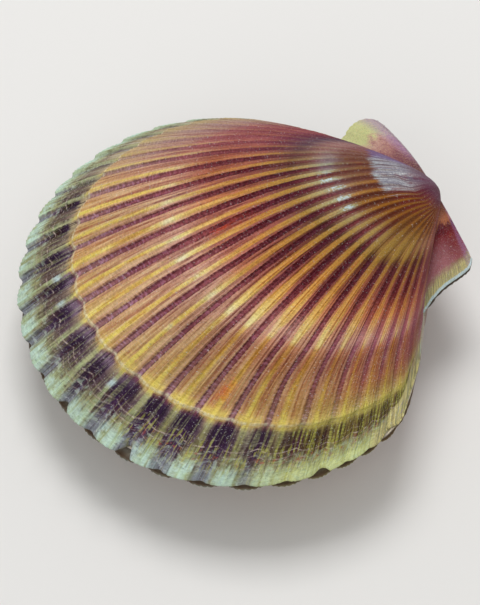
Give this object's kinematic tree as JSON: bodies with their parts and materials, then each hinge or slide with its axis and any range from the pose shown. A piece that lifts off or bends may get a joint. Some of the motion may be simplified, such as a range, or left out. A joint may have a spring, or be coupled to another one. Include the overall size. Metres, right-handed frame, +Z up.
{
  "type": "scallop shell",
  "caption": "Closed scallop shell: two convex fan-shaped valves with radial ribs, a growth ledge near the scalloped margin, and flat ears beside the beaks.",
  "frame": {"origin": "centre of the bounding box at its bottom, on the surface that the lower valve rests on", "axes": "+X along the hinge towards the shorter ears, +Y from the margin towards the beaks, +Z up, out of the upper valve"},
  "size_m": [0.075, 0.071, 0.0263],
  "materials": {
    "upper_shell": "satin",
    "lower_shell": "satin"
  },
  "bodies": {
    "root": {"upper_valve": "upper_shell", "lower_valve": "lower_shell"}
  },
  "joints": []
}
